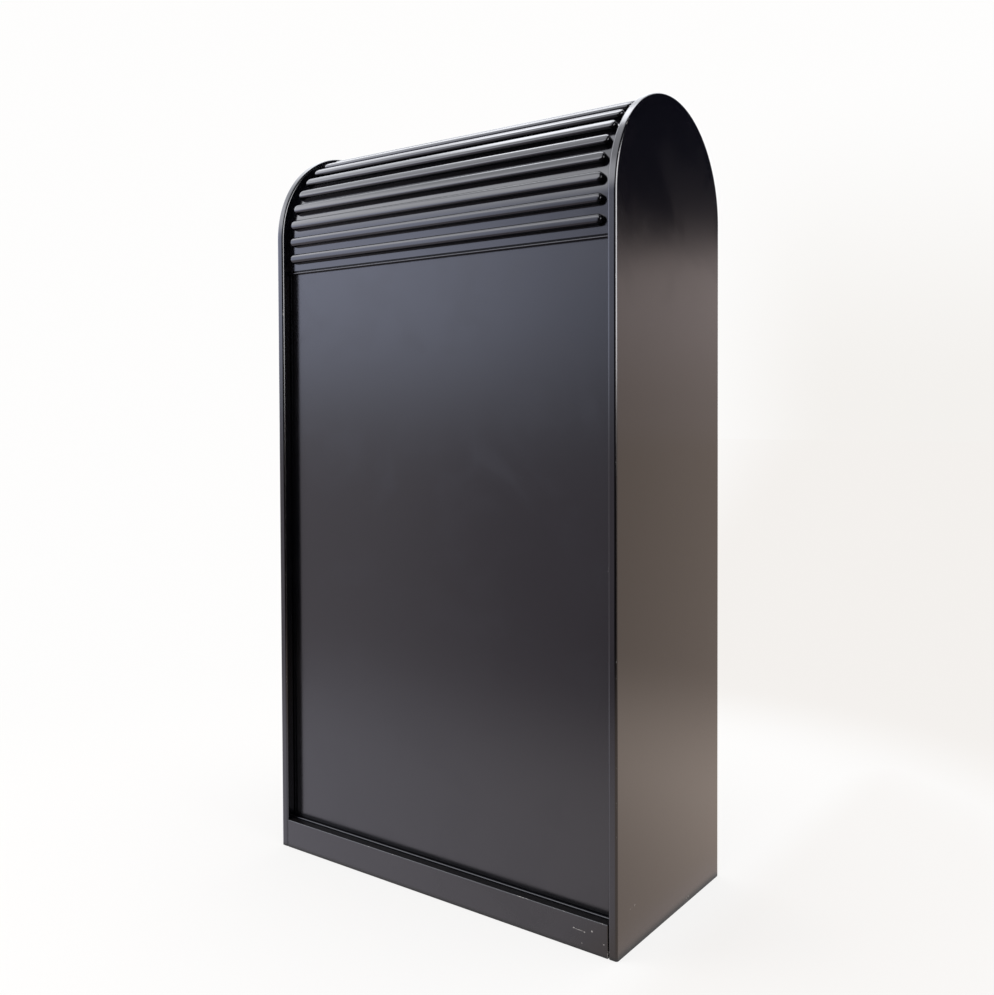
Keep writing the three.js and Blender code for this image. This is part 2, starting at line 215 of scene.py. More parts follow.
def carve(piece, skin, operation="DIFFERENCE"):
    """Cuts a skin out of a piece, or adds it, and keeps the result as the piece's own mesh."""
    tool = piece_from(piece.name + "_tool", skin)
    modifier = piece.modifiers.new("carve", "BOOLEAN")
    modifier.operation = operation
    modifier.solver = "EXACT"
    modifier.object = tool
    graph = bpy.context.evaluated_depsgraph_get()
    result = bpy.data.meshes.new_from_object(
        piece.evaluated_get(graph), preserve_all_data_layers=True, depsgraph=graph
    )
    piece.modifiers.clear()
    piece.data = result
    bpy.data.objects.remove(tool)
    smooth(piece.data)
    return piece


# %% [markdown]
# A board's arrises are sanded round before it is lacquered, or the lacquer would not hold on them.
# The round is what draws the thin light lines in the photograph, so it is real geometry. The outline
# is drawn in a little at each end of the board while the end turns over in a quarter circle, and a
# guard ring just inside keeps the shading of the flat face flat. Points on the round are marked, so
# that wear can be painted there.

# %% Rounded outlines
def rounded_ends(start, end, radius, steps=ROUND_STEPS):
    """Stations from start to end. Over a quarter turn t the depth grows as 1 - cos t and the inset
    shrinks as 1 - sin t, both times the radius. The mark is sin 2t, strongest half way round."""
    turn = np.linspace(0, np.pi / 2, steps + 1)
    depth = np.concatenate([[0], radius * (1 - np.cos(turn)), [radius + GUARD]])
    inset = np.concatenate([[radius + GUARD], radius * (1 - np.sin(turn)), [0]])
    mark = np.concatenate([[0], np.sin(2 * turn), [0]])
    x = np.concatenate([start + depth, (end - depth)[::-1]])
    return x, np.concatenate([inset, inset[::-1]]), np.concatenate([mark, mark[::-1]])


def corner(inset, y, z, towards, start, radius):
    """A quarter circle about a centre that lies the radius in from the corner (y, z), with a guard
    point before and after it. Drawn in further than the radius, the centre itself moves in."""
    angle = start + np.concatenate([[0], QUARTER_TURN, [np.pi / 2]])
    shift = np.concatenate([[-GUARD], 0 * QUARTER_TURN, [GUARD]])
    marks = np.concatenate([[0], np.sin(2 * QUARTER_TURN), [0]])
    size = np.maximum(radius - inset, 0)[:, None]
    centre = radius + np.maximum(inset - radius, 0)[:, None]
    across = y + towards[0] * centre + size * np.cos(angle) - shift * np.sin(angle)
    upward = z + towards[1] * centre + size * np.sin(angle) + shift * np.cos(angle)
    return np.stack([across, upward], axis=-1), marks


def board_outline(inset, low, high, radius):
    """A rectangle in y and z with four round corners, anticlockwise as +X sees it."""
    quarter = np.pi / 2
    parts = [
        corner(inset, high[0], low[1], (-1, 1), -quarter, radius),
        corner(inset, high[0], high[1], (-1, -1), 0, radius),
        corner(inset, low[0], high[1], (1, -1), quarter, radius),
        corner(inset, low[0], low[1], (1, 1), 2 * quarter, radius),
    ]
    outlines, marks = zip(*parts)
    return np.concatenate(outlines, axis=1), np.concatenate(marks)


def rounded_piece(name, start, end, outline_of, radius, steps=ROUND_STEPS):
    """A piece with rounded ends. outline_of takes the insets and gives the outlines and marks."""
    x, inset, along = rounded_ends(start, end, radius, steps)
    outline, around = outline_of(inset)
    return piece_from(name, swept(x, outline), np.maximum(along[:, None], around[None, :]))


def board(name, low, high, radius=ARRIS):
    """A board with every arris round, from its lowest and highest corners."""
    def outline_of(inset):
        return board_outline(inset, low[1:], high[1:], radius)
    return rounded_piece(name, low[0], high[0], outline_of, radius)


# %% Round bars
def circle(radius, y, z, sides=BAR_SIDES):
    """Circles in y and z, one for each radius, anticlockwise as +X sees them."""
    turn = np.linspace(0, 2 * np.pi, sides, endpoint=False)
    return np.stack([y + radius[:, None] * np.cos(turn), z + radius[:, None] * np.sin(turn)], axis=-1)


def bar(start, end, radius, y, z):
    """A plain round bar along X, for drilling."""
    x = np.array(sorted((start, end)))
    return swept(x, circle(np.full(2, radius), y, z))


def block(low, high):
    """A plain block, for cutting."""
    outline = np.array([[low[1], low[2]], [high[1], low[2]], [high[1], high[2]], [low[1], high[2]]])
    return prism(low[0], high[0], outline)


# %% [markdown]
# The side boards are the cabinet's frame: 16 mm board, square at the foot and half round at the top,
# with a groove that guides the shutter up one edge, over the arch and down the other. The outline is
# a rectangle that turns into a half circle. The groove, the housing of the rear panel and the holes
# for pins and dowels are cut afterwards, as a router and a drill would. Their long edges are rounder
# than the other boards' arrises: the photograph shows a dark and a bright line side by side there,
# which takes a round of about 4 mm. The foot stays flat.

# %% Side boards
EDGE_ROUND, EDGE_STEPS = 4 * MM, 8
ARCH_STEPS = 96
HALF_TURN = np.linspace(0, np.pi, ARCH_STEPS + 1)
GROOVE_LOW, GROOVE_HIGH = 169.5 * MM, 173.5 * MM
FLOOR_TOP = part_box("floor_board")[1][2]
panel_low, panel_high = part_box("rear_panel")
TONGUE_THICKNESS = 4 * MM
tongue_face = panel_high[1] - TONGUE_THICKNESS
top_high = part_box("top_board")[1]


def arch_outline(inset):
    """Two foot corners and a half circle between them. The inset draws in the two edges and the arch,
    but not the foot."""
    reach = RADIUS - inset[:, None]
    foot_right, marks = corner(0 * inset, reach, 0, (-1, 1), -np.pi / 2, ARRIS)
    foot_left, _ = corner(0 * inset, -reach, 0, (1, 1), np.pi, ARRIS)
    arch = np.stack([reach * np.cos(HALF_TURN), SPRING + reach * np.sin(HALF_TURN)], axis=-1)
    marks = np.concatenate([marks, 0 * HALF_TURN, marks])
    return np.concatenate([foot_right, arch, foot_left], axis=1), marks


def groove_outline():
    """A band between two half circles with straight legs down to the floor board."""
    ring = np.stack([np.cos(HALF_TURN), np.sin(HALF_TURN)], axis=-1)
    outer = GROOVE_HIGH * ring + [0, SPRING]
    inner = (GROOVE_LOW * ring + [0, SPRING])[::-1]
    places = (GROOVE_HIGH, -GROOVE_HIGH, -GROOVE_LOW, GROOVE_LOW)
    feet = np.array([[place, FLOOR_TOP] for place in places])
    return np.concatenate([feet[:1], outer, feet[1:3], inner, feet[3:]])


# %% Cut the sides
CUT_LEAD = 2 * MM
GROOVE_DEPTH = 8 * MM
HOUSING_DEPTH = 6 * MM
PIN_STEP, PIN_STEPS = 32 * MM, range(-2, 3)
PIN_HOLE_DEPTH, PIN_HOLE_RADIUS = 9.3 * MM, 2.8 * MM
DOWEL_IN_BOARD, DOWEL_IN_SIDE, DOWEL_HOLE_RADIUS = 20.3 * MM, 10.3 * MM, 4.3 * MM
ENDS = ("rear", "front")


def middle(box):
    """The y and z of the middle of a box."""
    low, high = box
    return (low[1] + high[1]) / 2, (low[2] + high[2]) / 2


pin_rows = [middle(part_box(f"shelf_1_pin_{end}_right"))[0] for end in ENDS]
pin_levels = [middle(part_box(f"shelf_{n}_pin_rear_right"))[1] for n in (1, 2)]
dowel_places = {board_name: [middle(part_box(f"dowel_{board_name}_{end}_right")) for end in ENDS]
                for board_name in ("floor", "top")}


def side_cutters(sign):
    """What is cut out of one side: groove, housing, pin holes and dowel holes. Each begins a little
    before the board's inner face."""
    def across(depth):
        return sorted((sign * (INNER - CUT_LEAD), sign * (INNER + depth)))
    housing = across(HOUSING_DEPTH)
    low = (housing[0], tongue_face - GUARD, FLOOR_TOP)
    high = (housing[1], panel_high[1] + GUARD, top_high[2] + GUARD)
    cutters = [prism(*across(GROOVE_DEPTH), groove_outline()), block(low, high)]
    for level in pin_levels:
        for step in PIN_STEPS:
            z = level + step * PIN_STEP
            cutters += [bar(*across(PIN_HOLE_DEPTH), PIN_HOLE_RADIUS, row, z) for row in pin_rows]
    return joined(cutters + dowel_holes(sign, "floor") + dowel_holes(sign, "top"))


def dowel_holes(sign, board_name):
    """Holes through the joint for one board's dowels on one side."""
    reach = sorted((sign * (INNER - DOWEL_IN_BOARD), sign * (INNER + DOWEL_IN_SIDE)))
    return [bar(*reach, DOWEL_HOLE_RADIUS, *place) for place in dowel_places[board_name]]


sides = {}
for side, sign in (("left", -1), ("right", 1)):
    low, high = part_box(f"side_panel_{side}")
    name = f"side_panel_{side}_dressed"
    sides[side] = rounded_piece(name, low[0], high[0], arch_outline, EDGE_ROUND, EDGE_STEPS)
    carve(sides[side], side_cutters(sign))
    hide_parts(f"side_panel_{side}")
    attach(sides[side], "carcass")
    print(sides[side].name, len(sides[side].data.polygons), "faces")

# %% [markdown]
# The flat boards: plinths flush with the edges of the sides, a floor board that stands a little
# higher than the plinths, the top board under the arch, two shelves, and the rear panel. Each takes
# its corners from its CAD node, so only the round arrises are new. The rear panel's sides are
# rebated: its face stops at the side boards and a thinner tongue at its back goes into them.

# %% Boards
PANEL_ARRIS = 0.6 * MM
PANEL_OVERLAP = 3 * MM
BACK_STEP = 0.2 * MM


def tongues(start, end, low, high):
    """A block at each end of a piece, from start out to end, between two corners in y and z."""
    return joined([block((-end, *low), (-start, *high)), block((start, *low), (end, *high))])


def rebated_panel(name):
    """The panel's face board between the sides, and a tongue added at the back of each side."""
    edge = INNER - GUARD
    face = board(name, (-edge, *panel_low[1:]), (edge, *panel_high[1:]), PANEL_ARRIS)
    low, high = (tongue_face, panel_low[2] + MM), (panel_high[1] - BACK_STEP, panel_high[2] - MM)
    return carve(face, tongues(edge - PANEL_OVERLAP, panel_high[0], low, high), "UNION")


boards = {}
plain_boards = ["plinth_rear", "plinth_front", "floor_board", "top_board", "shelf_1", "shelf_2"]
for node in plain_boards + ["rear_panel"]:
    if node == "rear_panel":
        boards[node] = rebated_panel(f"{node}_dressed")
    else:
        boards[node] = board(f"{node}_dressed", *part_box(node))
    if node in ("floor_board", "top_board"):
        word = node.split("_")[0]
        carve(boards[node], joined(dowel_holes(-1, word) + dowel_holes(1, word)))
    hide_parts(node)
    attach(boards[node], "carcass")
print(len(boards), "boards")

# %% [markdown]
# The shutter is one sheet with ribs across it. It is easiest to think of in its own coordinates: how
# far along the sheet a point lies, measured from the rear springing of the arch, and how high it
# stands above the sheet's outer face. One function then lays any such point on the straight rear
# leg, round the arch or down the front.
#
# A half ellipse is the usual first guess for a rib, but it is too thin at the shoulders: in the
# photograph the ribs have nearly flat faces and steep sides. A superellipse has the same equation,
# with an exponent of 3.5 in place of 2, and the ends of a rib are the same section turned round.

# %% The shutter's own coordinates
def on_sheet(along, height):
    """Straight below the rear springing, turned by along / radius over the arch, straight again
    below the front springing."""
    angle = np.clip(along, 0, ARCH_LENGTH) / SHEET_OUT
    below = np.maximum(-along, 0) + np.maximum(along - ARCH_LENGTH, 0)
    reach = SHEET_OUT + height
    return np.stack([-reach * np.cos(angle), SPRING + reach * np.sin(angle) - below], axis=-1)


RIB_STEPS = 28
DOME_STEPS = 12
RIB_BED, BED_STEPS = 0.05 * MM, 5
NEARLY_FLAT = 1e-9


def superellipse_step(turn):
    """Even steps round a superellipse: its share of the half width, with the cosine's sign."""
    return np.sign(np.cos(turn)) * np.abs(np.cos(turn)) ** (2 / RIB_FULLNESS)


def rib_forms(half, edge=None):
    """Stations across the cabinet, and the rib's section at each one: the swing to a side and the
    rise, as shares of half the rib's width and of its height. In the last half width, a point's
    distance from the end's upright axis takes the place of its swing in the section's equation."""
    end = superellipse_step(np.linspace(np.pi / 2, 0, DOME_STEPS + 1))
    x = half - RIB_WIDTH / 2 + RIB_WIDTH / 2 * end
    if edge is not None:
        x, end = np.append(x, edge), np.append(end, 1)
    x, end = np.concatenate([-x[::-1], x]), np.concatenate([end[::-1], end])[:, None]
    swing = np.sqrt(1 - end**2) * superellipse_step(np.linspace(0, np.pi, RIB_STEPS + 1))
    left = 1 - np.hypot(end, swing) ** RIB_FULLNESS
    rise = np.where(left > NEARLY_FLAT, np.maximum(left, 0) ** (1 / RIB_FULLNESS), 0)
    return x, swing, rise


def rib_skin(centre):
    """One rib that follows the sheet, bedded a hair deep in it."""
    x, swing, rise = rib_forms(RIB_HALF)
    under = swing[:, :1] * np.linspace(-1, 1, BED_STEPS + 1)[1:-1]
    along = centre + RIB_WIDTH / 2 * np.concatenate([swing, under], axis=1)
    height = (RIB_HEIGHT + RIB_BED) * np.concatenate([rise, 0 * under], axis=1) - RIB_BED
    return swept(x, on_sheet(along, height))


# %% The sheet over the arch and its ribs
FRONT_FOOT_LEVEL = 1.18105
rear_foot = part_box("shutter_arch_sheet")[0][2] - SPRING
front_foot = ARCH_LENGTH + SPRING - FRONT_FOOT_LEVEL
inside = np.concatenate([[rear_foot], np.linspace(0, ARCH_LENGTH, ARCH_STEPS + 1), [front_foot]])
flat = 0 * inside
band = np.concatenate([on_sheet(inside[::-1], flat), on_sheet(inside, flat - SHEET_THICKNESS)])
arch_sheet = piece_from("shutter_arch_sheet_dressed", prism(-SHEET_EDGE, SHEET_EDGE, band))
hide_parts("shutter_arch_sheet")
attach(arch_sheet, "carcass")

arch_ribs = []
for number in range(ARCH_RIBS):
    node = f"shutter_arch_rib_{number + 1:02d}"
    rib = piece_from(f"{node}_dressed", rib_skin(FIRST_RIB + number * RIB_PITCH))
    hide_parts(node)
    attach(rib, "carcass")
    arch_ribs.append(rib)
print(len(arch_ribs), "ribs over the arch, faces in each:", len(arch_ribs[0].data.polygons))

# %% [markdown]
# The straight runs are each one skin: the outside goes along the flat sheet and up and over every
# rib, and the inside is flat. Where a rib's domed end has run out, its points fall together on the
# sheet and are welded.

# %% A straight ribbed run
def ribbed_run(centres, low, high, half, rib_height, back, front, facing=1):
    """A skin between two heights, and from back to front in y. Each rib adds a fixed foot mark, its
    section at that station, and another foot mark. Facing is -1 for a run at the rear."""
    x, swing, rise = rib_forms(half, SHEET_EDGE)
    ones = np.ones((len(x), 1))
    swing = np.concatenate([-ones, -swing, ones], axis=1)
    rise = np.concatenate([0 * ones, rise, 0 * ones], axis=1)
    up_to = centres[None, :, None] + (RIB_WIDTH / 2) * swing[:, None, :]
    out_to = front + rib_height * np.repeat(rise[:, None, :], len(centres), axis=1)
    up_to, out_to = up_to.reshape(len(x), -1), out_to.reshape(len(x), -1)
    z = np.concatenate([low * ones, up_to, high * ones, high * ones, low * ones], axis=1)
    y = np.concatenate([front * ones, out_to, front * ones, back * ones, back * ones], axis=1)
    return swept(x, np.stack([facing * y, z], axis=-1))


FRONT_RIB_HEIGHT = RIB_HEIGHT - 0.2 * MM
run_low, run_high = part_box("shutter_front_run")
centres = run_high[2] - (np.arange(FRONT_RIBS)[::-1] + 0.5) * RIB_PITCH
run = ribbed_run(centres, run_low[2], run_high[2], RIB_HALF, FRONT_RIB_HEIGHT, SHEET_IN, SHEET_OUT)
front_run = piece_from("shutter_front_run_dressed", run)
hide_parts("shutter_front_run")
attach(front_run, "carcass")
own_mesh(front_run)
print("front run:", len(centres), "ribs,", len(front_run.data.polygons), "faces")

# %% [markdown]
# When the shutter is open, the tail rail has come down outside the rear panel and the curtain hangs
# between it and the arch. The solids can't show that run, because it would have to grow out of
# nothing. Here a skin is made as it hangs when open, and each point is moved to the height from which
# a blend between the carcass and the tail, with the weight in the function below, would carry it back.
# As made, it lies folded inside the lowest rib of the arch.

# %% The rear run, folded inside the lowest rib
FOLD_TOP, FOLD_FOOT = 1.1645, 1.1585
FOLD_STEPS = 400001
REAR_TOP = 1.1700
REAR_HALF, REAR_RIB_HEIGHT = RIB_HALF - 1 * MM, 11.5 * MM
REAR_IN, REAR_OUT = SHEET_IN + 0.1 * MM, SHEET_OUT - 0.1 * MM
tail_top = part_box("tail_rail")[1][2] - TRAVEL
open_foot = tail_top + 0.4 * MM
lowest_rib = tail_top + 9.8 * MM
rear_centres = np.linspace((FOLD_TOP + FOLD_FOOT) / 2, lowest_rib, FRONT_RIBS + 1)[:0:-1]


def folded(opened):
    """The height at rest of a point that hangs at the height opened. The blend's weight is
    t * t * (3 - 2 t), with t from 0 at the fold's top to 1 at its foot. It falls steadily, so it is
    tabled finely and read backwards."""
    rest = np.linspace(FOLD_TOP, FOLD_FOOT, FOLD_STEPS)
    t = (FOLD_TOP - rest) / (FOLD_TOP - FOLD_FOOT)
    reached = rest - t * t * (3 - 2 * t) * TRAVEL
    between = np.interp(-opened, -reached, rest)
    between = np.where(opened > FOLD_TOP, opened, between)
    return np.where(opened < FOLD_FOOT - TRAVEL, opened + TRAVEL, between)


run = ribbed_run(rear_centres, open_foot, REAR_TOP, REAR_HALF, REAR_RIB_HEIGHT, REAR_IN, REAR_OUT, -1)
rear_run = piece_from("shutter_rear_run_open", run)
places = np.empty(len(rear_run.data.vertices) * 3)
rear_run.data.vertices.foreach_get("co", places)
places = places.reshape(-1, 3)
places[:, 2] = folded(places[:, 2])
rear_run.data.vertices.foreach_set("co", places.ravel())
rear_run.data.update()
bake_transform(rear_run)
print("rear run folds to", np.round(places[:, 2].min(), 4), np.round(places[:, 2].max(), 4))

# %% [markdown]
# The tail rail ends the curtain in the photograph: a flat band, a narrow channel and a small bead.
# Its profile is drawn once, with the bead a half ellipse and the channel a shallow hollow, and
# carried along. Two thin tongues at its ends ride in the grooves.

# %% Tail rail
tail_low, tail_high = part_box("tail_rail")
BEAD_FOOT, BEAD_TOP, CHANNEL_TOP = tail_low[2], tail_low[2] + 3.5 * MM, tail_low[2] + 6.5 * MM
BEAD_RISE, CHANNEL_DEPTH = 1.5 * MM, 2 * MM
PROFILE_STEPS = 12


def tail_profile():
    """Anticlockwise as +X sees it: up the inside, down the flat band, into the channel as a half
    wave, round the bead as a half ellipse."""
    turn = np.linspace(0, np.pi, PROFILE_STEPS + 1)
    hollow_z = np.linspace(CHANNEL_TOP, BEAD_TOP, PROFILE_STEPS + 1)
    hollow = np.stack([-SHEET_OUT + CHANNEL_DEPTH * np.sin(turn), hollow_z], axis=-1)
    bead_z = (BEAD_TOP + BEAD_FOOT) / 2 + (BEAD_TOP - BEAD_FOOT) / 2 * np.cos(turn)
    bead = np.stack([-SHEET_OUT - BEAD_RISE * np.sin(turn), bead_z], axis=-1)
    inside, top = tail_high[1:]
    inside_face = [[inside, BEAD_FOOT], [inside, top], [-SHEET_OUT, top]]
    return np.concatenate([inside_face, hollow, bead])


tail = piece_from("tail_rail_dressed", prism(-RAIL_X, RAIL_X, tail_profile()))
low, high = (-SHEET_OUT, CHANNEL_TOP), (-SHEET_IN, tail_high[2])
carve(tail, tongues(RAIL_X - MM, SHEET_EDGE, low, high), "UNION")
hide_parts("tail_rail")
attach(tail, "tail")
print(tail.name, len(tail.data.polygons), "faces")

# %% [markdown]
# The lead rail is the thick bar at the curtain's front end, with a long slot for the fingertips. It
# is a rounded board with tongues added and the slot cut. The cutter is a long stadium whose outline
# widens towards the mouth in a quarter circle, so that the slot's edge comes out round.

# %% Lead rail
LEAD_ARRIS, LEAD_OVERLAP = 2 * MM, 4 * MM
SLOT_SIDES = 48
lead_low, lead_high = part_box("lead_rail")
lead = board("lead_rail_dressed", (-RAIL_X, *lead_low[1:]), (RAIL_X, *lead_high[1:]), LEAD_ARRIS)
low, high = (SHEET_IN, lead_low[2] + MM), (SHEET_OUT, lead_high[2] - MM)
carve(lead, tongues(RAIL_X - LEAD_OVERLAP, SHEET_EDGE, low, high), "UNION")


def slot_skin(half, z, radius, depth, lip):
    """Stadium rings from the slot's floor out to past the face. Near the mouth the outline grows by
    lip * (1 - cos t) while the place moves by lip * sin t."""
    turn = np.linspace(0, 2 * np.pi, SLOT_SIDES, endpoint=False)
    face = lead_high[1]
    y = np.concatenate([[face - depth], face - lip + lip * np.sin(QUARTER_TURN), [face + CUT_LEAD]])
    grow = np.concatenate([[0], lip * (1 - np.cos(QUARTER_TURN)), [lip]])
    reach = (radius + grow)[:, None]
    x = np.where(np.cos(turn) > 0, half, -half)[None, :] + reach * np.cos(turn)
    upward = z + reach * np.sin(turn)
    rings = np.stack([x, np.broadcast_to(y[:, None], x.shape), upward], axis=-1)
    return skin_of_rings(rings)


carve(lead, slot_skin(half=112 * MM, z=lead_low[2] + 22 * MM, radius=8 * MM, depth=11 * MM, lip=MM))
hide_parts("lead_rail")
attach(lead, "lead")
print(lead.name, len(lead.data.polygons), "faces")

# %% [markdown]
# Shelf pins are small turned pieces of plated steel. A lathe shape is a radius that changes along an
# axis, so a list of places and radii is the whole design: a rounded nose, a collar, and a stem with
# a chamfered end that fills the hole.

# %% Shelf pins
PIN_SIDES = 32
NOSE_REACH, NOSE_ROUND, NOSE_RADIUS = 8 * MM, 1.2 * MM, 3.5 * MM
COLLAR_TO_STEM = MM * np.array([(-0.6, 3.5), (-0.3, 3.2), (-0.3, 2.5), (8.2, 2.5), (9, 1.8)])


def pin(name, side_sign, y, z):
    """Rings whose radius follows the turned profile, from the nose inside the cabinet to the stem's
    end in the board. Each row of the list is a place past the board's face, and the radius there."""
    nose_x = INNER - NOSE_REACH + NOSE_ROUND * (1 - np.cos(QUARTER_TURN))
    nose_r = NOSE_RADIUS - NOSE_ROUND + NOSE_ROUND * np.sin(QUARTER_TURN)
    x = np.concatenate([nose_x, INNER + COLLAR_TO_STEM[:, 0]])
    radius = np.concatenate([nose_r, COLLAR_TO_STEM[:, 1]])
    if side_sign < 0:
        x, radius = -x[::-1], radius[::-1]
    return piece_from(name, swept(x, circle(radius, y, z, PIN_SIDES)))


pins = []
for shelf, level in enumerate(pin_levels, 1):
    for end, row in zip(ENDS, pin_rows):
        for side, sign in (("left", -1), ("right", 1)):
            node = f"shelf_{shelf}_pin_{end}_{side}"
            turned = pin(f"{node}_dressed", sign, row, level)
            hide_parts(node)
            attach(turned, "carcass")
            pins.append(turned)
print(len(pins), "pins")

# %% [markdown]
# Materials. Lacquer on board has a few effects that every black surface here shares, at different
# strengths: the fine orange peel that a spray gun leaves, smudges from hands, dust that settles on
# what faces up, wear along the arrises, and small chips. Each is a node group, made once, and a few
# helpers keep the node code short.

# %% Node helpers
def fill(tree, node, values):
    """Fills a node's sockets: a socket given as a value is linked, anything else is set."""
    for key, value in values.items():
        if isinstance(value, bpy.types.NodeSocket):
            tree.links.new(value, node.inputs[key])
        else:
            node.inputs[key].default_value = value
    return node


def add_node(tree, kind, values=None, **settings):
    """Adds a shader node of a kind, sets its properties and fills its sockets."""
    made = tree.nodes.new("ShaderNode" + kind)
    for key, value in settings.items():
        setattr(made, key, value)
    return fill(tree, made, values or {})


def empty_tree(owner):
    """The node tree of a material or world, with nothing in it."""
    owner.use_nodes = True
    owner.node_tree.nodes.clear()
    return owner.node_tree


def new_group(name, inputs, output):
    """A node group with one output, the sockets where its inputs arrive, and the socket that its
    result goes to. An input without a first value is a vector."""
    group = bpy.data.node_groups.new(name, "ShaderNodeTree")
    for label, value in inputs.items():
        kind = "NodeSocketVector" if value is None else "NodeSocketFloat"
        socket = group.interface.new_socket(label, in_out="INPUT", socket_type=kind)
        if value is not None:
            socket.default_value = value
    group.interface.new_socket(output, in_out="OUTPUT", socket_type="NodeSocketFloat")
    given = group.nodes.new("NodeGroupInput").outputs
    print("group", name)
    return group, given, group.nodes.new("NodeGroupOutput").inputs[output]


def group_node(tree, group, values):
    """Places a node group in a material with its own values."""
    return add_node(tree, "Group", values, node_tree=group).outputs[0]


def noise(tree, vector, scale, detail=2.0, roughness=0.5, distortion=0.0):
    """A noise value; scale is in waves per metre, because object coordinates are in metres."""
    values = dict(Vector=vector, Scale=scale, Detail=detail, Roughness=roughness, Distortion=distortion)
    return add_node(tree, "TexNoise", values).outputs["Fac"]


def maths(tree, operation, *values):
    """One Math node."""
    return add_node(tree, "Math", dict(enumerate(values)), operation=operation).outputs[0]


def product(tree, share, *others):
    """Several shares, each multiplied by the next."""
    for other in others:
        share = maths(tree, "MULTIPLY", share, other)
    return share


def vector_maths(tree, operation, *values):
    """One Vector Math node: a length is a value, and anything else is a vector."""
    made = add_node(tree, "VectorMath", dict(enumerate(values)), operation=operation)
    return made.outputs["Value" if operation == "LENGTH" else "Vector"]


def axes_of(tree, vector):
    """The X, Y and Z of a vector, as sockets."""
    return add_node(tree, "SeparateXYZ", {0: vector}).outputs


def ramp(tree, value, low, high, start=0.0, end=1.0):
    """A smooth step of value between low and high, put out between start and end."""
    values = {"Value": value, "From Min": low, "From Max": high, "To Min": start, "To Max": end}
    made = add_node(tree, "MapRange", values, interpolation_type="SMOOTHSTEP")
    return made.outputs["Result"]


def blend_colour(tree, share, first, second):
    """Mixes two colours by a share that changes over the surface. In a Mix node, sockets 6 and 7 are
    the colours and output 2 is the mixed one."""
    values = {"Factor": share}
    for key, colour in ((6, first), (7, second)):
        values[key] = colour if isinstance(colour, bpy.types.NodeSocket) else (*colour, 1)
    return add_node(tree, "Mix", values, data_type="RGBA").outputs[2]


# %% Orange peel
peel, given, result = new_group("orange_peel", {"Vector": None, "Grain": 1.0, "Wave": 1.0}, "Height")
fine = product(peel, noise(peel, given["Vector"], 420, 1.5), given["Grain"])
broad = product(peel, noise(peel, given["Vector"], 16, 1.0), given["Wave"])
peel.links.new(maths(peel, "ADD", fine, broad), result)

# %% Smudges
smudge, given, result = new_group("hand_smudges", {"Vector": None, "Size": 7.0}, "Smudge")
patches = noise(smudge, given["Vector"], given["Size"], 5.0, 0.62, 0.6)
smudge.links.new(ramp(smudge, patches, 0.42, 0.72), result)

# %% Dust on what faces up
dust, given, result = new_group("settled_dust", {"Vector": None, "Normal": None}, "Dust")
facing = ramp(dust, axes_of(dust, given["Normal"])["Z"], 0.55, 1.0)
patchy = ramp(dust, noise(dust, given["Vector"], 11, 3.0), 0.3, 0.75, 0.35, 1.0)
grainy = ramp(dust, noise(dust, given["Vector"], 900, 2.0, 0.7), 0.42, 0.62)
dust.links.new(product(dust, facing, patchy, grainy), result)

# %% Wear along the arrises
wear, given, result = new_group("arris_wear", {"Vector": None, "Arris": 0.0, "Amount": 0.3}, "Worn")
stretch = product(wear, noise(wear, given["Vector"], 26, 3.0, 0.6), 0.6)
nibble = product(wear, noise(wear, given["Vector"], 240, 3.0, 0.7), 0.4)
height = product(wear, maths(wear, "ADD", stretch, nibble), given["Arris"])
edge = maths(wear, "SUBTRACT", 0.72, product(wear, given["Amount"], 0.4))
wear.links.new(ramp(wear, maths(wear, "SUBTRACT", height, edge), 0.0, 0.06), result)

# %% Small chips
OFF_LINE = (0.0016, 0.0016, 0.0016)
inputs = {"Vector": None, "Cells": 40.0, "Size": 0.03, "Share": 0.1}
chips, given, result = new_group("small_chips", inputs, "Chip")
values = {"Vector": given["Vector"], "Scale": 500.0, "Detail": 2.0}
ragged = add_node(chips, "TexNoise", values)
ragged = vector_maths(chips, "MULTIPLY", ragged.outputs["Color"], OFF_LINE)
moved = vector_maths(chips, "ADD", given["Vector"], ragged)
cells = add_node(chips, "TexVoronoi", {"Vector": moved, "Scale": given["Cells"]})
chosen = add_node(chips, "SeparateColor", {0: cells.outputs["Color"]}).outputs[0]
picked = maths(chips, "LESS_THAN", chosen, given["Share"])
near = maths(chips, "LESS_THAN", cells.outputs["Distance"], given["Size"])
chips.links.new(product(chips, picked, near), result)

# %% A single knock, at a place of its own
inputs = {"Vector": None, "Centre": None, "Shares": None}
knock, given, result = new_group("single_knock", inputs, "Knock")
from_centre = vector_maths(knock, "SUBTRACT", given["Vector"], given["Centre"])
reached = vector_maths(knock, "LENGTH", vector_maths(knock, "MULTIPLY", from_centre, given["Shares"]))
ragged = product(knock, noise(knock, given["Vector"], 1400, 2.0), 0.9)
knock.links.new(maths(knock, "LESS_THAN", maths(knock, "ADD", reached, ragged), 1.25), result)
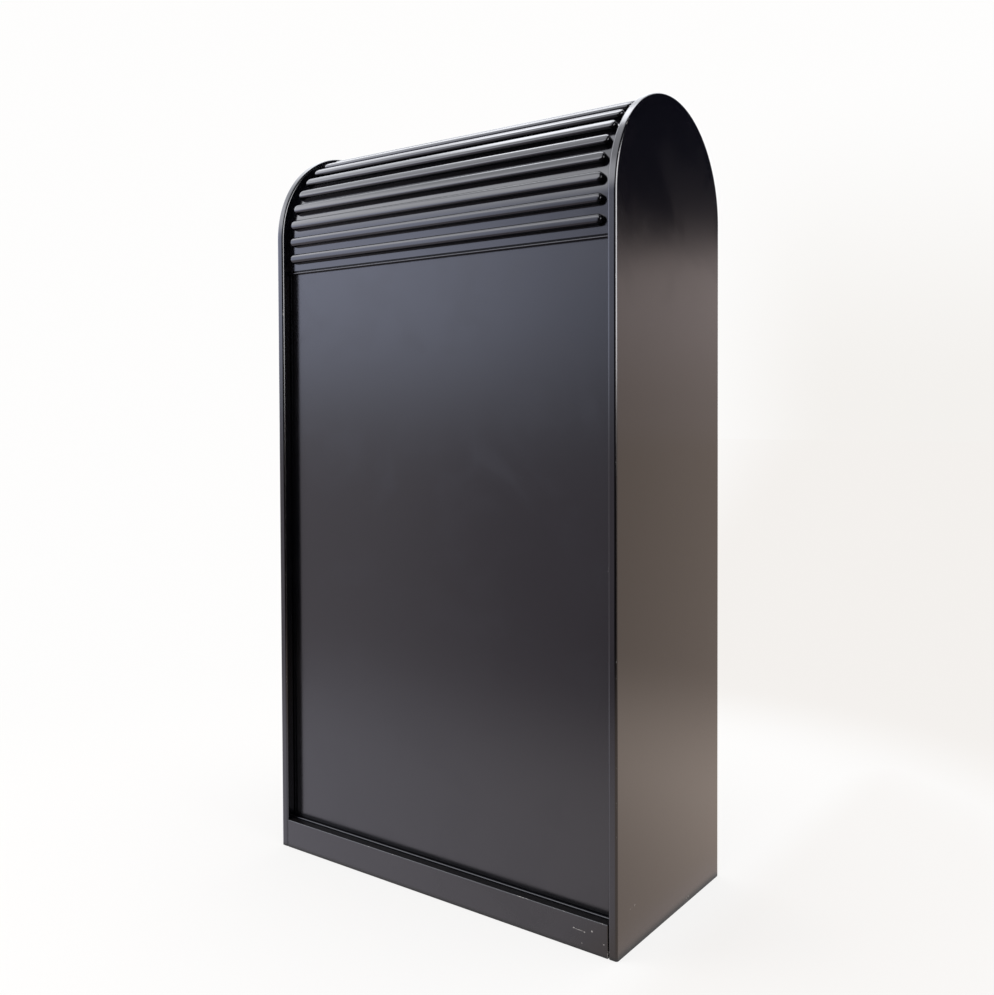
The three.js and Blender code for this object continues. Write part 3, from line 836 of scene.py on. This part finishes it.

# %% [markdown]
# The lacquers. All are one recipe: a near-black base that goes a little paler with dust and smudges,
# bare primer where wear or a chip has gone through, roughness that changes with handling, and orange
# peel as a bump. The plinth has knocks at the places where the photograph shows them. The rear panel
# is duller than the sides, and the ribs are a little glossier than both. The tops of the plinth and
# the floor board carry painted shade: what faces up there has its reflection turned down and little
# dust, because behind their bright arrises the photograph shows a black band. The floor board's
# lacquer is a shaded copy of the black one, a touch darker.

# %% Lacquers
LACQUER_IOR = 1.56
DUST_COLOUR = (0.30, 0.29, 0.27)
PRIMER_COLOUR = (0.42, 0.40, 0.38)
KNOCK_DEPTH = 4 * MM
KNOCKS = [
    (0.3012, 0.0326, 1.6, 1.3),
    (0.3110, 0.0318, 10, 0.5),
    (0.3210, 0.0310, 1.5, 1.2),
    (0.3348, 0.0361, 1.8, 1.6),
    (0.3163, 0.0119, 1.1, 0.9),
    (0.3565, 0.0213, 1.2, 1.0),
]


def new_material(name):
    """A material, its node tree, its shader, and the coordinates that its patterns follow."""
    material = bpy.data.materials.new(name)
    material.use_nodes = True
    tree = material.node_tree
    place = add_node(tree, "TexCoord").outputs["Object"]
    return material, tree, tree.nodes["Principled BSDF"], place


def kicked_marks(tree, place):
    """The knocks at the plinth's right-hand end: a scratch between two chips, and fainter ones. Each
    has its x and z in metres, and how far it reaches along both in millimetres."""
    marks = None
    for x, z, wide, tall in KNOCKS:
        shares = (1 / (wide * MM), 1 / KNOCK_DEPTH, 1 / (tall * MM))
        mark = group_node(tree, knock, {"Vector": place, "Centre": (x, -RADIUS, z), "Shares": shares})
        marks = mark if marks is None else maths(tree, "MAXIMUM", marks, mark)
    return marks


def lacquer(
    name, base, gloss, dulled, grain, wave, wear_amount, chip_share, scuffed=False, shaded_tops=False
):
    """A finished black lacquer. gloss is the roughness of clean lacquer, dulled that of a smudge.
    With the tops flag, what faces up gets painted shade: its reflection is turned down and it takes
    little dust."""
    material, tree, shader, place = new_material(name)
    normal = add_node(tree, "NewGeometry").outputs["Normal"]
    arris = add_node(tree, "Attribute", attribute_name="arris").outputs["Fac"]
    smudged = group_node(tree, smudge, {"Vector": place, "Size": 7.0})
    dusty = group_node(tree, dust, {"Vector": place, "Normal": normal})
    worn = group_node(tree, wear, {"Vector": place, "Arris": arris, "Amount": wear_amount})
    chip = group_node(tree, chips, {"Vector": place, "Cells": 34.0, "Size": 0.035, "Share": chip_share})
    bare = maths(tree, "MAXIMUM", worn, chip)
    if scuffed:
        bare = maths(tree, "MAXIMUM", bare, kicked_marks(tree, place))
    pale = tuple(value * 1.6 + 0.0006 for value in base)
    # Painted shade: with the tops flag, the tops take less dust, so that they stay black.
    dust_share = 0.005 if shaded_tops else 0.02
    colour = blend_colour(tree, product(tree, smudged, 0.35), base, pale)
    colour = blend_colour(tree, product(tree, dusty, dust_share), colour, DUST_COLOUR)
    colour = blend_colour(tree, bare, colour, PRIMER_COLOUR)
    rough = ramp(tree, smudged, 0.0, 1.0, gloss, dulled)
    rough = maths(tree, "ADD", rough, product(tree, dusty, 0.3))
    rough = maths(tree, "MAXIMUM", rough, product(tree, bare, 0.65))
    height = group_node(tree, peel, {"Vector": place, "Grain": grain, "Wave": wave})
    height = maths(tree, "SUBTRACT", height, product(tree, bare, 0.06))
    bump = add_node(tree, "Bump", {"Strength": 1.0, "Distance": MM, "Height": height}).outputs["Normal"]
    fill(tree, shader, {"IOR": LACQUER_IOR, "Base Color": colour, "Roughness": rough, "Normal": bump})
    # Painted shade: faces that point up lose most of their reflection, so that the tops read black.
    if shaded_tops:
        sheen = ramp(tree, axes_of(tree, normal)["Z"], 0.9, 0.99, 0.5, 0.04)
        fill(tree, shader, {"Specular IOR Level": sheen})
    return material


black = lacquer(
    "black_lacquer", (0.0012, 0.0012, 0.0022), gloss=0.14, dulled=0.18,
    grain=0.004, wave=0.03, wear_amount=0.35, chip_share=0.02,
)
# The plinth's tops get the same painted shade as the floor board's.
kicked = lacquer(
    "black_lacquer_kicked", (0.006, 0.0055, 0.006), gloss=0.24, dulled=0.30,
    grain=0.006, wave=0.04, wear_amount=0.45, chip_share=0.05, scuffed=True, shaded_tops=True,
)
panel = lacquer(
    "panel_lacquer", (0.0018, 0.0018, 0.0026), gloss=0.19, dulled=0.24,
    grain=0.005, wave=0.03, wear_amount=0.2, chip_share=0.004,
)
ribbed = lacquer(
    "shutter_black", (0.0015, 0.0015, 0.0025), gloss=0.12, dulled=0.17,
    grain=0.005, wave=0.02, wear_amount=0.2, chip_share=0.012,
)
# A shaded copy of the black lacquer for the floor board: a touch darker, with painted shade on its top.
shaded_floor_lacquer = lacquer(
    "black_lacquer_floor", (0.001, 0.001, 0.002), gloss=0.2, dulled=0.26,
    grain=0.004, wave=0.03, wear_amount=0.2, chip_share=0.01, shaded_tops=True,
)
print("lacquers:", black.name, kicked.name, panel.name, ribbed.name, shaded_floor_lacquer.name)

# %% [markdown]
# Two small materials are left. Zinc-plated steel is a metal with a faint brushed unevenness, and the
# beech dowels inside the joints have fine grain along their length.

# %% Steel and beech
steel, tree, shader, place = new_material("steel_pin")
cloudy = noise(tree, place, 700, 3.0)
rough = ramp(tree, cloudy, 0.3, 0.7, 0.24, 0.42)
colour = blend_colour(tree, cloudy, (0.50, 0.51, 0.53), (0.62, 0.62, 0.63))
fill(tree, shader, {"Metallic": 1.0, "Base Color": colour, "Roughness": rough})

beech, tree, shader, place = new_material("beech")
grained = add_node(tree, "Mapping", {"Vector": place, "Scale": (0.06, 1.0, 1.0)}).outputs[0]
streak = noise(tree, grained, 1500, 4.0, 0.6)
rough = ramp(tree, streak, 0.3, 0.7, 0.55, 0.72)
colour = blend_colour(tree, streak, (0.52, 0.34, 0.18), (0.68, 0.49, 0.30))
fill(tree, shader, {"Base Color": colour, "Roughness": rough})
print("materials:", steel.name, beech.name)

# %% Give each piece its finish
def finish_with(material, *pieces):
    """Gives pieces one material, in their first slot or in every slot they already have."""
    for piece in pieces:
        if not piece.material_slots:
            piece.data.materials.append(material)
        for slot in piece.material_slots:
            slot.material = material


finish_with(black, *sides.values(), *boards.values(), tail, lead)
finish_with(shaded_floor_lacquer, boards["floor_board"])
finish_with(kicked, boards["plinth_rear"], boards["plinth_front"])
finish_with(panel, boards["rear_panel"])
finish_with(ribbed, arch_sheet, front_run, rear_run, *arch_ribs)
finish_with(steel, *pins)
dowels = [found for node, found in frame["nodes"].items() if node.startswith("dowel_")]
finish_with(beech, *dowels)
print(len(dowels), "dowels in beech")

# %% [markdown]
# The room. Black lacquer shows what it reflects more than its own colour, so the room matters as
# much as the lamps. The camera sees a plain white background. Glossy rays see the same white room
# with its differences: a cool window side at the left, and a dark place high up at the right behind
# the cabinet, which the upper part of the right side mirrors in the photograph. The lamps light the
# floor and cast the shadow, and are left out of the reflections, because the room has them already.
#
# The floor is bright to a slanting ray and dark to a steep one, as a sheen is. Without that, the
# undersides of the ribs mirror a white floor and lose the black lines that the photograph shows. It
# is paler near the cabinet than far off, cooler at the rear than at the side, and dark in the part
# that lies behind the camera.

# %% Floor
FLOOR_SIZE = 60
HALF_WIDTH, HALF_DEPTH = 0.38, 0.19
WHITE = (0.99, 0.985, 0.98)
bpy.ops.mesh.primitive_plane_add(size=FLOOR_SIZE)
floor = bpy.context.object
floor.name = "studio_floor"
floor_material = bpy.data.materials.new("studio_floor")
tree = empty_tree(floor_material)
seen = add_node(tree, "LightPath").outputs
spot = add_node(tree, "TexCoord").outputs["Object"]
spot_axes = axes_of(tree, spot)
spot_x, spot_y = spot_axes["X"], spot_axes["Y"]
across = vector_maths(tree, "LENGTH", spot)
deep = maths(tree, "ABSOLUTE", spot_y)
past_side = maths(tree, "SUBTRACT", maths(tree, "ABSOLUTE", spot_x), HALF_WIDTH)
beside = maths(tree, "MAXIMUM", past_side, maths(tree, "SUBTRACT", deep, HALF_DEPTH))

# colours: along the rear from left to right, round the corner to the side, and from near to far
to_right = ramp(tree, maths(tree, "ADD", spot_x, product(tree, deep, 0.8)), -0.4, 0.8)
at_side = ramp(tree, spot_x, 0.25, 0.45)
near_glow = blend_colour(tree, to_right, (1.42, 1.37, 1.57), (1.28, 1.18, 1.27))
beside_glow = blend_colour(tree, ramp(tree, spot_y, -0.1, 0.65), (1.06, 0.87, 0.76), (1.50, 1.24, 1.08))
near_glow = blend_colour(tree, at_side, near_glow, beside_glow)
far_glow = blend_colour(tree, to_right, (0.91, 0.84, 0.94), (0.62, 0.55, 0.64))
far_glow = blend_colour(tree, at_side, far_glow, (0.88, 0.71, 0.61))
glow = blend_colour(tree, ramp(tree, beside, 0.35, 1.5), near_glow, far_glow)

# strength: less to a steep ray, and less behind the camera
incoming = add_node(tree, "NewGeometry").outputs["Incoming"]
slanting = ramp(tree, axes_of(tree, incoming)["Z"], 0.48, 0.64, 1.0, 0.04)
turned_to = maths(tree, "DIVIDE", spot_x, across)
behind = product(
    tree,
    ramp(tree, turned_to, -0.36, -0.18),
    ramp(tree, spot_y, -0.8, -0.3, 1.0, 0.0),
    ramp(tree, across, 1.2, 2.4, 0.0, 0.93),
)
strength = product(tree, slanting, maths(tree, "SUBTRACT", 1.0, behind))

# what the camera sees: white, a little darker far off at the right, and a warm painted shade
# beside the cabinet's right side
distant = product(tree, ramp(tree, turned_to, -0.46, -0.3), ramp(tree, across, 0.9, 1.5))
painted_shade_beside = product(tree, ramp(tree, spot_x, 0.38, 0.5), ramp(tree, across, 0.9, 1.3, 0.5, 0.0))
white = blend_colour(tree, maths(tree, "MAXIMUM", distant, painted_shade_beside), WHITE, (0.90, 0.875, 0.85))

real_floor = add_node(tree, "BsdfDiffuse", {"Color": (0.92, 0.90, 0.88, 1)}).outputs[0]
mirrored_floor = add_node(tree, "Emission", {"Color": glow, "Strength": strength}).outputs[0]
white_floor = add_node(tree, "Emission", {"Color": white, "Strength": 1.0}).outputs[0]
by_glossy = product(tree, seen["Is Glossy Ray"], ramp(tree, beside, 0.0, 0.015))
by_camera = product(tree, seen["Is Camera Ray"], ramp(tree, across, 0.5, 2.0, 0.8, 1.0))
both = add_node(tree, "MixShader", {0: by_glossy, 1: real_floor, 2: mirrored_floor}).outputs[0]
both = add_node(tree, "MixShader", {0: by_camera, 1: both, 2: white_floor}).outputs[0]
add_node(tree, "OutputMaterial", {"Surface": both})
floor.data.materials.append(floor_material)
print("floor laid")

# %% World
world = bpy.data.worlds.new("white_room")
bpy.context.scene.world = world
tree = empty_tree(world)
seen = add_node(tree, "LightPath").outputs
way = axes_of(tree, add_node(tree, "TexCoord").outputs["Generated"])
way_x, way_y, way_z = way["X"], way["Y"], way["Z"]

# the window side: pale at the horizon, cool glass above it that ends towards the right, a brighter
# row of panes on top, and a ceiling with a lamp that only the topmost ribs mirror
window = blend_colour(tree, ramp(tree, way_z, -0.04, 0.12), (0.98, 0.95, 1.04), (2.5, 2.65, 3.4))
window_end = product(tree, ramp(tree, way_x, -0.66, -0.46), 0.55)
window = blend_colour(tree, window_end, window, (0.12, 0.10, 0.12))
window = blend_colour(tree, ramp(tree, way_z, 0.2, 0.42), window, (4.7, 4.75, 5.1))
window = blend_colour(tree, ramp(tree, way_z, 0.54, 0.7), window, (2.5, 2.55, 2.75))
lamp_glow = blend_colour(tree, ramp(tree, way_x, -0.64, -0.53), (2.8, 2.85, 3.05), (7.8, 7.9, 8.4))
window = blend_colour(tree, ramp(tree, way_y, -0.08, 0.08), window, lamp_glow)
left_room = blend_colour(tree, ramp(tree, way_y, 0.22, 0.5), window, (2.4, 2.45, 2.6))

# the right side: a warm wall, dark above, with one bright strip of light far to the right
wall = blend_colour(tree, ramp(tree, way_z, 0.0, 0.1), (0.95, 0.78, 0.71), (1.18, 0.99, 0.95))
right_room = blend_colour(tree, ramp(tree, way_z, 0.132, 0.172), wall, (0.015, 0.015, 0.03))
strip = product(
    tree, ramp(tree, way_x, 0.78, 0.86), ramp(tree, way_y, -0.55, -0.4), ramp(tree, way_z, 0.0, 0.08)
)
right_room = blend_colour(tree, strip, right_room, (11.0, 11.0, 11.4))
room = blend_colour(tree, ramp(tree, way_x, -0.05, 0.20), left_room, right_room)

# behind the camera it is dark
behind = product(
    tree,
    ramp(tree, way_x, -0.42, -0.22),
    ramp(tree, way_x, 0.68, 0.78, 1.0, 0.0),
    ramp(tree, way_y, -0.5, -0.25, 1.0, 0.0),
    ramp(tree, way_z, 0.2, 0.45, 1.0, 0.0),
)
room = blend_colour(tree, behind, room, (0.03, 0.03, 0.045))

# what the camera sees: white, and a little darker low down at the right
distant = product(tree, ramp(tree, way_x, -0.46, -0.3), ramp(tree, way_z, 0.0, 0.3, 1.0, 0.0))
white = blend_colour(tree, distant, WHITE, (0.90, 0.88, 0.855))
lit = blend_colour(tree, seen["Is Glossy Ray"], (0.80, 0.80, 0.81), room)
shown = maths(tree, "MAXIMUM", seen["Is Camera Ray"], seen["Is Transmission Ray"])
colour = blend_colour(tree, shown, lit, white)
background = add_node(tree, "Background", {"Color": colour, "Strength": 1.0}).outputs[0]
add_node(tree, "OutputWorld", {"Surface": background})
print("world", world.name)

# %% Lamps
def unit(way):
    """The same direction, one long."""
    return way / np.linalg.norm(way)


def soft_lamp(name, place, aim, size, power, colour):
    """A square area lamp that faces a point."""
    data = bpy.data.lights.new(name, "AREA")
    data.shape = "SQUARE"
    data.size = size
    data.energy = power
    data.color = colour
    lamp = bpy.data.objects.new(name, data)
    bpy.context.scene.collection.objects.link(lamp)
    forward = unit(np.array(aim, float) - place)
    side_way = unit(np.cross(forward, [0, 0, 1]))
    lamp.matrix_world = placed(side_way, np.cross(side_way, forward), forward, place)
    lamp.visible_glossy = False
    return lamp


soft_lamp("window_lamp", (-2.4, -2.0, 3.0), (0, 0, 0.7), 2.0, 36, (0.95, 0.97, 1.0))
soft_lamp("ceiling_lamp", (0.3, 0.1, 3.4), (0, 0, 0), 1.6, 40, (1.0, 0.99, 0.97))
bpy.context.scene.view_settings.view_transform = "Standard"
print("lamps:", len(bpy.data.lights))

# %% [markdown]
# The last cell brings the scene up to date.

# %% Finish
bpy.context.view_layer.update()
